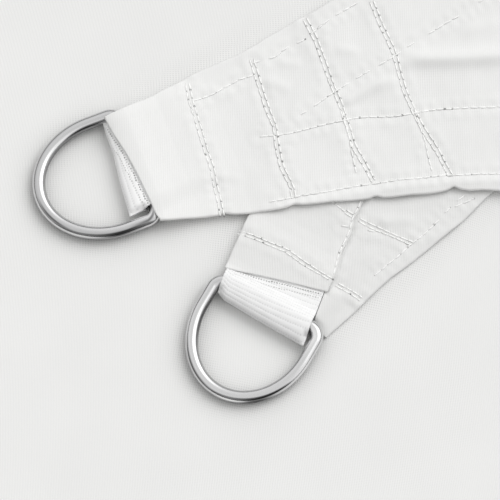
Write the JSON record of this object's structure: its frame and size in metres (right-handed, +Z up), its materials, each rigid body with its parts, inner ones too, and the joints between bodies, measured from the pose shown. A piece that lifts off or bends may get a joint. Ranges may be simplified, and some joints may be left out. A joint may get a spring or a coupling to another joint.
{
  "type": "folded triangular shade sail with D-rings",
  "caption": "Off-white woven shade sail folded flat, with two webbing-looped steel D-ring corners crossed on top and one at the side.",
  "frame": {"origin": "on the flat underside, below the middle of the two upper corners", "axes": "+Z up from the surface it lies on; +X across the folds, away from the two upper rings; +Y towards the third corner's side"},
  "size_m": [0.4831, 0.6046, 0.0322],
  "materials": {
    "sail_cloth": "matt plain-woven polyester, off-white",
    "webbing": "white ribbed polyester webbing",
    "steel": "polished stainless steel wire"
  },
  "bodies": {
    "root": {"sail_cloth": "sail_cloth", "webbing_a": "webbing", "webbing_b": "webbing", "webbing_c": "webbing", "d_ring_a": "steel", "d_ring_b": "steel", "d_ring_c": "steel"}
  },
  "joints": []
}
